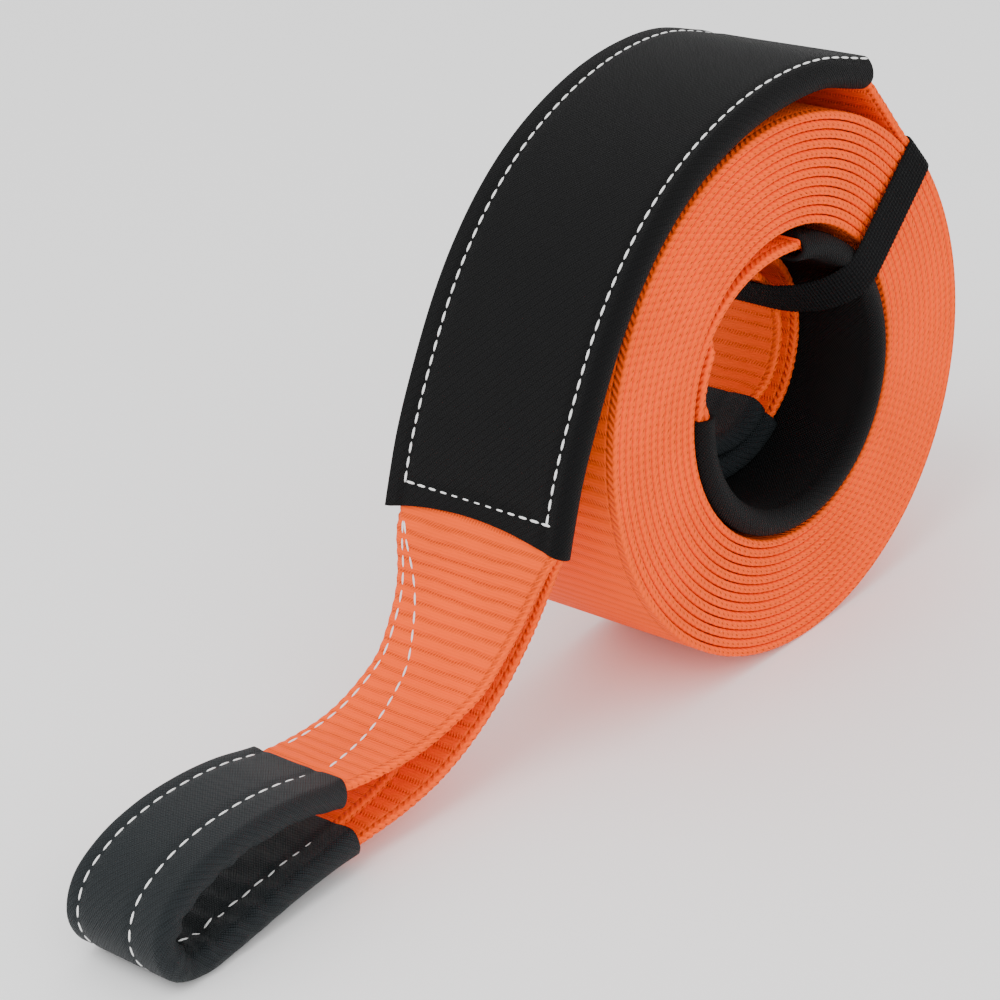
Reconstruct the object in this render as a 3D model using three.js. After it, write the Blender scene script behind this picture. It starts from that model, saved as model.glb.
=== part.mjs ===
// Recovery tow strap: one length of flat webbing rolled up on its rim, with a protected eye at each end.
// Millimetres. +X runs along the roll's axis, -Y points to the loose eye, +Z is up.
// The origin is on the floor, under the roll's axis and midway across the webbing.

import * as THREE from "three";

// Webbing
const webbing_width = 76;
const webbing_thickness = 3;
const layer_gap = 0.4;
const seat_gap = 0.3;
const edge_chamfer = 0.8;

// Roll
const bore_radius = 57.8;
const turn_count = 13;
const turn_pitch = 3.55;
const groove_width = 1.1;
const groove_depth = 1.3;
const roll_sides = 36;

// Steps along each run of webbing
const tail_steps = 104;
const inner_steps = 116;

// Label sleeves, one over the loose end's splice and one lining the bore
const sleeve_width = 85;
const sleeve_wall = 1.5;
const sleeve_chamfer = 1.6;
const outer_sleeve_start_angle = 62;
const inner_sleeve_angles = [81, -189];

// Eyes: the webbing is folded to about half its width and runs through a short wear sleeve
const eye_sleeve_wall = 1.2;
const eye_fold_length = 104;
const inner_fold_length = 160;
const fold_run = 52;
const folded_near_edge = 2.5;
const eye_sleeve_length = 192;
const bare_leg_length = 120;
const eye_sleeve_chamfer = 2.2;
const sleeve_play = 0.7;
const bore_play = 0.8;

// Tie band
const tie_angle = 36.5;
const tie_width = 20;
const tie_thickness = 1.6;

// Worked out from the values above
const roll_radius = bore_radius + turn_count * turn_pitch;
const axis_height = roll_radius * Math.cos(Math.PI / roll_sides);
const half_width = webbing_width / 2;
const stack_thickness = 2 * webbing_thickness + layer_gap;
const sleeve_thickness = stack_thickness + 2 * sleeve_play + 2 * sleeve_wall;
const layer_offset = (webbing_thickness + layer_gap) / 2;
const folded_thickness = 2 * webbing_thickness + 0.2;
const eye_sleeve_thickness = folded_thickness + 2 * sleeve_play + 2 * eye_sleeve_wall;
const bore_lining_radius = bore_radius - seat_gap - sleeve_thickness;

const webbing_orange = new THREE.MeshStandardMaterial({ color: 0xf4622a, roughness: 0.7, metalness: 0 });
const sleeve_black = new THREE.MeshStandardMaterial({ color: 0x1c1c1e, roughness: 0.85, metalness: 0 });
const wear_black = new THREE.MeshStandardMaterial({ color: 0x282e30, roughness: 0.8, metalness: 0 });
const band_black = new THREE.MeshStandardMaterial({ color: 0x101012, roughness: 0.8, metalness: 0 });

// A point in the roll's plane, from an angle about the roll's axis (0 towards +Y, 90 up) and a radius.
function polar(angle, radius) {
  const turn = THREE.MathUtils.degToRad(angle);
  return new THREE.Vector3(0, radius * Math.cos(turn), axis_height + radius * Math.sin(turn));
}

// A smooth curve through points in the roll's plane.
function routeThrough(points) {
  return new THREE.CatmullRomCurve3(points, false, "centripetal");
}

// The distance along a route to one of its own points.
function distanceTo(route, index) {
  const steps = 40;
  return route.getLengths((route.points.length - 1) * steps)[index * steps];
}

// The unit vector square to a route at a share of its length, in the roll's plane.
function sideways(route, share) {
  const along = route.getTangentAt(share);
  return new THREE.Vector3(0, -along.z, along.y).normalize();
}

// The same route moved sideways by an offset, sampled into a number of points.
function offsetPoints(route, offset, count) {
  const points = [];
  for (let i = 0; i < count; i += 1) {
    const share = i / (count - 1);
    points.push(route.getPointAt(share).addScaledVector(sideways(route, share), offset));
  }
  return points;
}

// The eight corners of a flat band's section: from x_low to x_high, with its edges chamfered.
function bandSection(centre, side, x_low, x_high, thickness, chamfer) {
  const half = thickness / 2;
  const inset = half - chamfer;
  const corners = [
    [x_low + chamfer, -half],
    [x_high - chamfer, -half],
    [x_high, -inset],
    [x_high, inset],
    [x_high - chamfer, half],
    [x_low + chamfer, half],
    [x_low, inset],
    [x_low, -inset],
  ];
  return corners.map(([x, across]) => centre.clone().addScaledVector(side, across).setX(x));
}

// Triangles between two rings of vertices that start at the given numbers.
function bridge(indices, first, second, count, flip) {
  for (let i = 0; i < count; i += 1) {
    const next = (i + 1) % count;
    const quad = [first + i, first + next, second + next, second + i];
    if (flip) quad.reverse();
    indices.push(quad[0], quad[1], quad[2], quad[0], quad[2], quad[3]);
  }
}

function geometryOf(vertices, indices) {
  const geometry = new THREE.BufferGeometry();
  const numbers = vertices.flatMap((vertex) => [vertex.x, vertex.y, vertex.z]);
  geometry.setAttribute("position", new THREE.Float32BufferAttribute(numbers, 3));
  geometry.setIndex(indices);
  geometry.computeVertexNormals();
  return geometry;
}

// A solid skinned over a row of sections, closed by a flat fan at each end.
function solidThrough(sections) {
  const ring = sections[0].length;
  const indices = [];
  for (let i = 0; i + 1 < sections.length; i += 1) {
    bridge(indices, i * ring, (i + 1) * ring, ring, true);
  }
  const last = (sections.length - 1) * ring;
  for (let i = 1; i + 1 < ring; i += 1) {
    indices.push(0, i, i + 1);
    indices.push(last, last + i + 1, last + i);
  }
  return geometryOf(sections.flat(), indices);
}

// A tube skinned over rows of outer and inner sections, open at both ends.
function tubeThrough(outer, inner) {
  const ring = outer[0].length;
  const inside = outer.length * ring;
  const indices = [];
  for (let i = 0; i + 1 < outer.length; i += 1) {
    bridge(indices, i * ring, (i + 1) * ring, ring, true);
    bridge(indices, inside + i * ring, inside + (i + 1) * ring, ring, false);
  }
  const last = (outer.length - 1) * ring;
  bridge(indices, 0, inside, ring, false);
  bridge(indices, last, inside + last, ring, true);
  return geometryOf([...outer.flat(), ...inner.flat()], indices);
}

// The webbing's near edge, which runs in from the start of the legs and settles in the eye.
function nearEdge(into_legs) {
  const left = Math.exp(-Math.max(into_legs, 0) / fold_run);
  return THREE.MathUtils.lerp(folded_near_edge, half_width, left);
}

// One run of webbing along a route, flat outside its legs, and folded over and thicker in between.
function webbingAlong(route, legs, fold_length, steps) {
  const length = route.getLength();
  const sections = [];
  for (let i = 0; i <= steps; i += 1) {
    const share = i / steps;
    const distance = share * length;
    const into_legs = Math.min(distance - legs.start, legs.end - distance);
    const near_edge = nearEdge(into_legs);
    const folded = THREE.MathUtils.smoothstep(into_legs, 0, fold_length);
    const thickness = THREE.MathUtils.lerp(webbing_thickness, folded_thickness, folded);
    const centre = route.getPointAt(share);
    sections.push(
      bandSection(centre, sideways(route, share), -half_width, near_edge, thickness, edge_chamfer),
    );
  }
  return solidThrough(sections);
}

// A hollow sleeve round webbing that fills x_low to x_high and a thickness. It covers the stations
// from first to last of the given number of equal steps along the route.
function sleeveAlong(route, steps, first, last, inside, wall, edge, chamfer) {
  const outer = [];
  const inner = [];
  for (let i = first; i <= last; i += 1) {
    const share = i / steps;
    const centre = route.getPointAt(share);
    const side = sideways(route, share);
    const low = inside.x_low - seat_gap;
    const high = inside.x_high + seat_gap;
    const hollow = inside.thickness + 2 * sleeve_play;
    inner.push(bandSection(centre, side, low, high, hollow, edge_chamfer));
    outer.push(bandSection(centre, side, low - edge, high + edge, hollow + 2 * wall, chamfer));
  }
  return tubeThrough(outer, inner);
}

// The roll: turned from one closed profile, with a groove between turns on both ends.
function rollGeometry() {
  const face = [];
  for (let turn = 0; turn < turn_count; turn += 1) {
    const start = bore_radius + turn * turn_pitch;
    const end = start + turn_pitch;
    if (turn > 0) face.push([start + groove_width / 2, half_width]);
    else face.push([start, half_width]);
    if (turn + 1 < turn_count) {
      face.push([end - groove_width / 2, half_width], [end, half_width - groove_depth]);
    } else {
      face.push([end, half_width]);
    }
  }
  const far_face = face.map(([radius, height]) => [radius, -height]);
  const profile = [...far_face, ...face.reverse()].map(([radius, height]) => new THREE.Vector2(radius, height));
  profile.push(profile[0].clone());
  const geometry = new THREE.LatheGeometry(profile, roll_sides, Math.PI / roll_sides);
  geometry.rotateZ(-Math.PI / 2);
  return geometry;
}

// The middle of the spliced double webbing where it arches over the roll and comes down in front of it.
// Each entry is an angle about the roll's axis and the clear height of the sleeve above the roll.
const arch_stations = [
  [outer_sleeve_start_angle, 6.5],
  [75, 4.6],
  [86, 2.4],
  [98, 0.9],
  [110, 0.4],
  [120, 0.5],
  [130, 0.7],
  [140, 1.4],
  [150, 3.1],
  [162, 7.2],
  [173, 14.4],
  [181, 21],
  [184.5, 24.6],
];
const arch = routeThrough(
  arch_stations.map(([angle, clear]) => polar(angle, roll_radius + clear + sleeve_thickness / 2)),
);

// The loose run below the sleeve: distance in front of the roll's rim and height above the floor.
const upper_leg_stations = [
  [31.9, 78.5],
  [34.6, 65.5],
  [40, 54.6],
  [49.6, 42.2],
  [62, 35.6],
  [76, 31.4],
  [91, 30.3],
  [112.4, 32.2],
  [133.7, 37.4],
  [151, 39.4],
  [168.6, 38.9],
  [184.5, 35.2],
];
const eye_tip_stations = [
  [196.5, 27.9],
  [200.6, 18],
  [196.5, 8.6],
];
const lower_leg_stations = [
  [186, 4.9],
  [166, 6.4],
  [146, 9],
  [124, 11],
  [104, 12.2],
  [87, 14],
  [71, 18.4],
  [56, 26.8],
  [43.6, 38.4],
  [35.4, 51],
  [30.6, 62.8],
  [28.2, 77.6],
];

function inFront([forward, height]) {
  return new THREE.Vector3(0, -(roll_radius + forward), height);
}

// The strap leaves the roll under the tie band, passes through the sleeve as its inner layer, turns
// round the eye and comes back through the sleeve as its outer layer.
const seated_radius = roll_radius + seat_gap + webbing_thickness / 2;
const leaving_points = [
  polar(20, seated_radius),
  polar(29, seated_radius),
  polar(37, seated_radius),
  polar(44, seated_radius + 0.3),
  polar(50, seated_radius + 2.6),
  polar(56, seated_radius + 5.9),
];
const arch_samples = 16;
const inner_layer = offsetPoints(arch, layer_offset, arch_samples);
const outer_layer = offsetPoints(arch, -layer_offset, arch_samples).reverse();
outer_layer.pop();
const tail_points = [
  ...leaving_points,
  ...inner_layer,
  ...lower_leg_stations.map(inFront).reverse(),
  ...eye_tip_stations.map(inFront).reverse(),
  ...upper_leg_stations.map(inFront).reverse(),
  ...outer_layer,
];
const tail_route = routeThrough(tail_points);
const tail_legs = {
  start: distanceTo(tail_route, leaving_points.length + inner_layer.length - 1),
  end: distanceTo(tail_route, tail_points.length - outer_layer.length),
};

// The inner end hugs the bore: through the lining sleeve, round the bore to its own eye and back.
// Each entry is an angle and the depth of the layer's middle below the bore's surface.
const lining_radius = bore_radius - seat_gap - sleeve_thickness / 2;
const outer_run = [];
const inner_run = [];
const lining_samples = 19;
for (let i = 0; i < lining_samples; i += 1) {
  const angle = THREE.MathUtils.lerp(...inner_sleeve_angles, i / (lining_samples - 1));
  outer_run.push(polar(angle, lining_radius + layer_offset));
  inner_run.push(polar(angle, lining_radius - layer_offset));
}
inner_run.reverse();
inner_run.pop();
const eye_seat_radius = bore_lining_radius - bore_play - eye_sleeve_thickness / 2;
const eye_return_radius = eye_seat_radius - eye_sleeve_thickness - 2 * seat_gap;
const inner_leg_out = [
  [-215, bore_radius - 4.4],
  [-238, bore_radius - 6.6],
  [-256, bore_radius - 9.9],
  [-274, bore_lining_radius - 2.7],
  [-300, bore_lining_radius - 3.2],
  [-330, bore_lining_radius - 3.5],
  [-360, bore_lining_radius - 3.7],
  [-390, bore_lining_radius - 4.2],
  [-412, eye_seat_radius],
];
const inner_eye_out = [-435, -465, -495, -525, -543].map((angle) => [angle, eye_seat_radius]);
const inner_eye_tip = [
  [-557, eye_seat_radius - 3.2],
  [-562, eye_seat_radius - 10],
  [-555, eye_seat_radius - 16],
];
const inner_eye_back = [
  [-535, eye_return_radius - 4.8],
  [-515, eye_return_radius - 2.4],
  [-490, eye_return_radius - 0.8],
  [-465, eye_return_radius - 0.2],
  [-435, eye_return_radius],
];
const inner_leg_back = [
  [-412, eye_return_radius],
  [-390, bore_lining_radius - 12.4],
  [-360, bore_lining_radius - 10.4],
  [-330, bore_lining_radius - 9.6],
  [-300, bore_lining_radius - 8.8],
  [-274, bore_lining_radius - 7.8],
  [-256, bore_radius - 14.6],
  [-238, bore_radius - 10.9],
  [-215, bore_radius - 8.1],
];
const inner_points = [
  polar(101, bore_radius - seat_gap - webbing_thickness / 2 - 0.4),
  polar(92, lining_radius + layer_offset + 0.5),
  ...outer_run,
  ...[...inner_leg_out, ...inner_eye_out, ...inner_eye_tip, ...inner_eye_back, ...inner_leg_back].map(
    ([angle, radius]) => polar(angle, radius),
  ),
  ...inner_run,
];
const inner_route = routeThrough(inner_points);
const inner_legs = {
  start: distanceTo(inner_route, 1 + outer_run.length),
  end: distanceTo(inner_route, inner_points.length - inner_run.length),
};

// A sleeve's lining of the bore follows the middle of its two layers.
const lining_arc = routeThrough(
  outer_run.map((point, i) => polar(THREE.MathUtils.lerp(...inner_sleeve_angles, i / (lining_samples - 1)), lining_radius)),
);

const spliced = { x_low: -half_width, x_high: half_width, thickness: stack_thickness };
const eye_near_edge = nearEdge(bare_leg_length);
const folded = { x_low: -half_width, x_high: eye_near_edge, thickness: folded_thickness };
const sleeve_edge = (sleeve_width - webbing_width) / 2 - seat_gap;

// The tie band: a flat ring round the wound webbing, the lining and the inner legs.
function tieGeometry() {
  const half_band = tie_width / 2;
  const reach = (radius) => Math.sqrt(radius * radius - half_band * half_band);
  const face = half_width + seat_gap;
  const lip = sleeve_width / 2 + seat_gap;
  const outer_run_radius = roll_radius + webbing_thickness + 2 * seat_gap;
  const lining_reach = reach(bore_lining_radius - seat_gap);
  const legs_reach = reach(bore_lining_radius - 13.4);
  const hole = [
    [-face, outer_run_radius],
    [face, outer_run_radius],
    [lip, bore_radius + 2],
    [lip, lining_reach],
    [17, legs_reach],
    [-lip, legs_reach],
    [-lip, bore_radius + 2],
  ];
  const t = tie_thickness;
  const outline = [
    [-face - t, outer_run_radius + t],
    [face + t, outer_run_radius + t],
    [lip + t, bore_radius + 2],
    [lip + t, lining_reach - t],
    [17, legs_reach - t],
    [-lip - t, legs_reach - t],
    [-lip - t, bore_radius + 2],
  ];
  const shape = new THREE.Shape(outline.map(([x, y]) => new THREE.Vector2(x, y)));
  shape.holes.push(new THREE.Path(hole.reverse().map(([x, y]) => new THREE.Vector2(x, y))));
  const geometry = new THREE.ExtrudeGeometry(shape, { depth: tie_width, bevelEnabled: false });
  geometry.translate(0, 0, -half_band);
  return geometry;
}

const strap = new THREE.Group();

function add(name, geometry, material) {
  const mesh = new THREE.Mesh(geometry, material);
  mesh.name = name;
  strap.add(mesh);
  return mesh;
}

add("webbing_roll", rollGeometry(), webbing_orange).position.z = axis_height;
add("webbing_tail", webbingAlong(tail_route, tail_legs, eye_fold_length, tail_steps), webbing_orange);
add("webbing_inner_end", webbingAlong(inner_route, inner_legs, inner_fold_length, inner_steps), webbing_orange);
add(
  "outer_label_sleeve",
  sleeveAlong(arch, 24, 0, 24, spliced, sleeve_wall, sleeve_edge, sleeve_chamfer),
  sleeve_black,
);
add(
  "inner_label_sleeve",
  sleeveAlong(lining_arc, 27, 0, 27, spliced, sleeve_wall, sleeve_edge, sleeve_chamfer),
  sleeve_black,
);

// A wear sleeve between two distances along a run. It shares the stations of the webbing inside it.
function wearSleeve(name, route, steps, from, to) {
  const first = Math.round((from / route.getLength()) * steps);
  const last = Math.round((to / route.getLength()) * steps);
  add(
    name,
    sleeveAlong(route, steps, first, last, folded, eye_sleeve_wall, eye_sleeve_wall, eye_sleeve_chamfer),
    wear_black,
  );
}

const outer_tip_index = leaving_points.length + inner_layer.length + lower_leg_stations.length + 1;
const outer_tip = distanceTo(tail_route, outer_tip_index);
wearSleeve(
  "outer_eye_sleeve",
  tail_route,
  tail_steps,
  outer_tip - eye_sleeve_length / 2,
  outer_tip + eye_sleeve_length / 2,
);
const inner_seat_index = 1 + outer_run.length + inner_leg_out.length;
const inner_return_index = inner_points.length - inner_run.length - inner_leg_back.length;
wearSleeve(
  "inner_eye_sleeve",
  inner_route,
  inner_steps,
  distanceTo(inner_route, inner_seat_index),
  distanceTo(inner_route, inner_return_index),
);

const tie = add("tie_band", tieGeometry(), band_black);
tie.position.z = axis_height;
tie.rotation.x = THREE.MathUtils.degToRad(tie_angle);

export default strap;
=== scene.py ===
"""Dresses the rolled tow strap: woven webbing, sewn label sleeves, padded eyes, thread and a tie band.

The frame is the part's own: +X along the roll's axis, -Y to the loose eye, +Z up, floor at z = 0.
Lengths are in millimetres until a mesh is made, which turns them into metres.
"""

import math
from collections import namedtuple

import bpy
import numpy as np
from mathutils import Matrix, Vector


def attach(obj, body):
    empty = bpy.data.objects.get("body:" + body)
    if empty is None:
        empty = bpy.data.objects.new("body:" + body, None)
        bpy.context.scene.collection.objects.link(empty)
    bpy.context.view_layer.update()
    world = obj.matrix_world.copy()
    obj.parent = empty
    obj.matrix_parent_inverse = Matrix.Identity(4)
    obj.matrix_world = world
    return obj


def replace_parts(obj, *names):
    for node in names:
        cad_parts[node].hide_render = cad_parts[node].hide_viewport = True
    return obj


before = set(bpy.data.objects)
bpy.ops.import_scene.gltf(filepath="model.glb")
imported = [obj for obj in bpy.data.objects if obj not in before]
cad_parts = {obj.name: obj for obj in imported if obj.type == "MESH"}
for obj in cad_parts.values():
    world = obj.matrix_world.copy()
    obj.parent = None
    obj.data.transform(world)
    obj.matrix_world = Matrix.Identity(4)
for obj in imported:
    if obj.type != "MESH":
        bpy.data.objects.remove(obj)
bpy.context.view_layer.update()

millimetres_per_metre = 1000.0

# Sizes shared with the part's source
webbing_width = 76.0
webbing_thickness = 3.0
layer_gap = 0.4
seat_gap = 0.3
bore_radius = 57.8
turn_count = 13
turn_pitch = 3.55
roll_sides = 36
sleeve_wall = 1.5
sleeve_play = 0.7
bore_play = 0.8
outer_sleeve_start_angle = 62.0
inner_sleeve_angles = (81.0, -189.0)
eye_sleeve_wall = 1.2
fold_run = 52.0
folded_near_edge = 2.5
eye_sleeve_length = 192.0
bare_leg_length = 120.0
tie_angle = 36.5
tie_thickness = 1.6

# The worn band is drawn narrower than its solid, which is 20 wide
tie_width = 18.4

roll_radius = bore_radius + turn_count * turn_pitch
axis_height = roll_radius * math.cos(math.pi / roll_sides)
half_width = webbing_width / 2
half_thickness = webbing_thickness / 2
sleeve_thickness = 2 * webbing_thickness + layer_gap + 2 * sleeve_play + 2 * sleeve_wall
layer_offset = (webbing_thickness + layer_gap) / 2
folded_thickness = 2 * webbing_thickness + 0.2
eye_sleeve_thickness = folded_thickness + 2 * sleeve_play + 2 * eye_sleeve_wall
bore_lining_radius = bore_radius - seat_gap - sleeve_thickness
lining_radius = bore_radius - seat_gap - sleeve_thickness / 2

# The wound turns, as one spiral from inside the lining's mouth to under the tie band
spiral_start_angle = 77.0
spiral_seat_angle = 171.0
spiral_seat_radius = 59.4
spiral_end_angle = 33.0 + 360 * turn_count
spiral_end_radius = 103.1
spiral_lead_in = 5.4
spiral_lead_angles = (80.0, 158.0)

# Steps along each piece
roll_step = 1.2
tail_step = 0.8
inner_step = 1.2
sleeve_step = 1.5


def polar(angle, radius):
    """Points (y, z) in the roll's plane: (r cos a, height of axis + r sin a), a from +Y towards up."""
    turn = np.radians(angle)
    return np.stack(
        [radius * np.cos(turn), axis_height + radius * np.sin(turn)], axis=-1
    )


def smooth(low, high, value):
    """The smoothstep 3t^2 - 2t^3 of t, the share of the way from low to high."""
    share = np.clip((value - low) / (high - low), 0, 1)
    return share * share * (3 - 2 * share)


def unit(vectors):
    return vectors / np.maximum(np.linalg.norm(vectors, axis=-1, keepdims=True), 1e-9)


def running_length(points):
    steps = np.linalg.norm(np.diff(points, axis=0), axis=1)
    return np.concatenate([[0.0], np.cumsum(steps)])


span_samples = 40


def centripetal(points):
    """A centripetal Catmull-Rom curve through points, sampled evenly within each span.

    From b to c, with neighbours a and d and knots g, h, k (square roots of the three chords),
    p(t) = b + m t + (3(c - b) - 2m - n) t^2 + (2(b - c) + m + n) t^3, where
    m = h ((b - a)/g - (c - a)/(g + h) + (c - b)/h) and n = h ((c - b)/h - (d - b)/(h + k) + (d - c)/k).
    """
    p = np.asarray(points, float)
    p = np.vstack([2 * p[0] - p[1], p, 2 * p[-1] - p[-2]])
    a, b, c, d = p[:-3], p[1:-2], p[2:-1], p[3:]
    knots = np.sqrt(np.linalg.norm(np.diff(p, axis=0), axis=1))[:, None]
    g, h, k = knots[:-2], knots[1:-1], knots[2:]
    m = h * ((b - a) / g - (c - a) / (g + h) + (c - b) / h)
    n = h * ((c - b) / h - (d - b) / (h + k) + (d - c) / k)
    t = (np.arange(span_samples) / span_samples)[None, :, None]
    b, c, m, n = b[:, None], c[:, None], m[:, None], n[:, None]
    curve = b + m * t + (3 * (c - b) - 2 * m - n) * t**2 + (2 * (b - c) + m + n) * t**3
    return np.vstack([curve.reshape(-1, 2), p[-2]])


Route = namedtuple("Route", "along centre tangent side marks")


def route_through(points, step, marks=()):
    """A route resampled to even steps: distance, centre, tangent and the side it turns left from.

    The side is the tangent turned a quarter turn, (-Tz, Ty). marks are numbers of the points whose
    distances along the route are wanted too.
    """
    fine = centripetal(points)
    length = running_length(fine)
    count = int(round(length[-1] / step)) + 1
    along = np.linspace(0, length[-1], count)
    centre = np.stack([np.interp(along, length, fine[:, i]) for i in (0, 1)], axis=-1)
    tangent = unit(np.gradient(centre, axis=0))
    side = np.stack([-tangent[:, 1], tangent[:, 0]], axis=-1)
    return Route(along, centre, tangent, side, [length[m * span_samples] for m in marks])


def moved_sideways(route, offset, count):
    """Points at a constant distance to the side of a route."""
    at = np.linspace(0, len(route.along) - 1, count).round().astype(int)
    return route.centre[at] + offset * route.side[at]


def part_of(route, first, last, step):
    """The stretch of a route between two distances, at even steps."""
    count = int(round((last - first) / step)) + 1
    along = np.linspace(first, last, count)

    def pick(values):
        return np.stack([np.interp(along, route.along, values[:, i]) for i in (0, 1)], axis=-1)

    return Route(along, pick(route.centre), unit(pick(route.tangent)), unit(pick(route.side)), [])


def in_space(route, sections, ahead):
    """Sections (x, across) as points (x, y, z): the centre, plus across sides, plus ahead tangents."""
    across = sections[..., 1:2]
    plane = route.centre[:, None] + across * route.side[:, None] + ahead * route.tangent[:, None]
    return np.concatenate([sections[..., 0:1], plane], axis=-1)


def on_route(route, along, x, across):
    """Points at distances along a route, at x and at a distance across from its centre."""
    at = [np.interp(along, route.along, route.centre[:, i]) for i in (0, 1)]
    side = [np.interp(along, route.along, route.side[:, i]) for i in (0, 1)]
    x = np.broadcast_to(x, np.shape(along))
    return np.stack([x, at[0] + across * side[0], at[1] + across * side[1]], axis=-1)


# Meshes


def outward(points, quads):
    """True where the quads' own winding makes them face out, from the sign of the volume."""
    a, b, c, d = (points[quads[:, i]] for i in range(4))
    volume = np.einsum("ij,ij->i", a, np.cross(b, c)) + np.einsum("ij,ij->i", a, np.cross(c, d))
    return volume.sum() > 0


def make_piece(name, points, quads, uv, flat_faces, material):
    """A mesh object from points in millimetres, quads and their corners' (along, across) values."""
    if not outward(points, quads):
        quads = quads[:, ::-1]
        uv = uv[:, ::-1]
    mesh = bpy.data.meshes.new(name)
    mesh.vertices.add(len(points))
    mesh.vertices.foreach_set("co", (points / millimetres_per_metre).astype(np.float32).ravel())
    mesh.loops.add(quads.size)
    mesh.loops.foreach_set("vertex_index", quads.astype(np.int32).ravel())
    mesh.polygons.add(len(quads))
    mesh.polygons.foreach_set("loop_start", np.arange(0, quads.size, 4, dtype=np.int32))
    mesh.polygons.foreach_set("use_smooth", ~flat_faces)
    mesh.update(calc_edges=True)
    layer = mesh.uv_layers.new(name="cloth")
    layer.data.foreach_set("uv", uv.astype(np.float32).ravel())
    mesh.materials.append(material)
    piece = bpy.data.objects.new(name, mesh)
    bpy.context.scene.collection.objects.link(piece)
    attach(piece, "root")
    return piece


def grid_quads(stations, ring, start=0):
    """Quads between neighbouring stations of closed rings of vertices."""
    i = np.arange(stations - 1)[:, None]
    j = np.arange(ring)[None, :]
    ahead = (j + 1) % ring
    corners = [i * ring + j, i * ring + ahead, (i + 1) * ring + ahead, (i + 1) * ring + j]
    return np.stack(corners, axis=-1).reshape(-1, 4) + start


def grid_uv(along, across_here, across_next):
    """The corners' values for grid_quads, from each station's distance and each ring gap's ends."""
    here, following = along[:-1, None], along[1:, None]
    rows = [
        (here, across_here[:-1]),
        (here, across_next[:-1]),
        (following, across_next[1:]),
        (following, across_here[1:]),
    ]
    shape = across_here[:-1].shape
    corners = [np.stack([np.broadcast_to(u, shape), v], axis=-1) for u, v in rows]
    return np.stack(corners, axis=2).reshape(-1, 4, 2)


edge_cap_points = 6
edge_value = 200.0
end_value = 600.0


def band_rings(mid, across, half, bulge):
    """Closed sections round mid-lines, and the values of across at both ends of each ring gap.

    A section runs along its mid-line at +half times the normal, round the end as the half ellipse
    end + bulge cos(a) t + half sin(a) n, back along the other face and round the start likewise.
    Edge gaps get across values of edge_value + half sin(a), so a shader can tell them from faces.
    """
    stations = len(mid)
    half = np.broadcast_to(np.asarray(half, float), (stations,))[:, None, None]
    bulge = np.broadcast_to(np.asarray(bulge, float), (stations,))[:, None, None]
    tangent = unit(np.gradient(mid, axis=1))
    normal = np.stack([-tangent[..., 1], tangent[..., 0]], axis=-1)
    angles = np.pi / 2 - np.pi * (np.arange(edge_cap_points) + 1) / (edge_cap_points + 1)
    cos, sin = np.cos(angles)[None, :, None], np.sin(angles)[None, :, None]
    last = mid[:, -1:] + bulge * cos * tangent[:, -1:] + half * sin * normal[:, -1:]
    first = mid[:, :1] - bulge * cos * tangent[:, :1] - half * sin * normal[:, :1]
    upper = mid + half * normal
    lower = (mid - half * normal)[:, ::-1]
    mid_cap = edge_cap_points // 2
    rings = np.concatenate(
        [first[:, mid_cap:], upper, last, lower, first[:, :mid_cap]], axis=1
    )
    face = across
    rim = np.broadcast_to(edge_value + half[..., 0] * np.sin(angles)[None], (stations, edge_cap_points))
    far_rim = np.broadcast_to(edge_value - half[..., 0] * np.sin(angles)[None], (stations, edge_cap_points))
    top = edge_value + half[..., 0]
    bottom = edge_value - half[..., 0]
    here = [far_rim[:, mid_cap:], face[:, :-1], top, rim, face[:, :0:-1], bottom, far_rim[:, :mid_cap]]
    following = [
        far_rim[:, mid_cap + 1 :],
        top,
        face[:, 1:],
        rim,
        bottom,
        face[:, -2::-1],
        far_rim[:, : mid_cap + 1],
    ]
    here = np.concatenate(here, axis=1)
    following = np.concatenate(following, axis=1)
    return rings, here, following


def end_quads(ring, start, along):
    """Quads that close a ring whose second half mirrors its first, with plain corner values."""
    j = np.arange(ring // 2 - 1)
    quads = np.stack([j, j + 1, ring - 2 - j, ring - 1 - j], axis=-1) + start
    uv = np.empty((len(quads), 4, 2))
    uv[..., 0] = along
    uv[..., 1] = end_value
    return quads, uv


def solid_band(name, route, mid, across, half, bulge, material):
    """A solid strip of webbing: closed sections along a route, shut at both ends."""
    rings, here, following = band_rings(mid, across, half, bulge)
    stations, ring = rings.shape[:2]
    points = in_space(route, rings, 0.0).reshape(-1, 3)
    sides = grid_quads(stations, ring)
    first, first_uv = end_quads(ring, 0, route.along[0])
    last, last_uv = end_quads(ring, (stations - 1) * ring, route.along[-1])
    quads = np.vstack([sides, first, last[:, ::-1]])
    uv = np.concatenate([grid_uv(route.along, here, following), first_uv, last_uv])
    flat_faces = np.zeros(len(quads), bool)
    flat_faces[len(sides) :] = True
    return make_piece(name, points, quads, uv, flat_faces, material)


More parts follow.
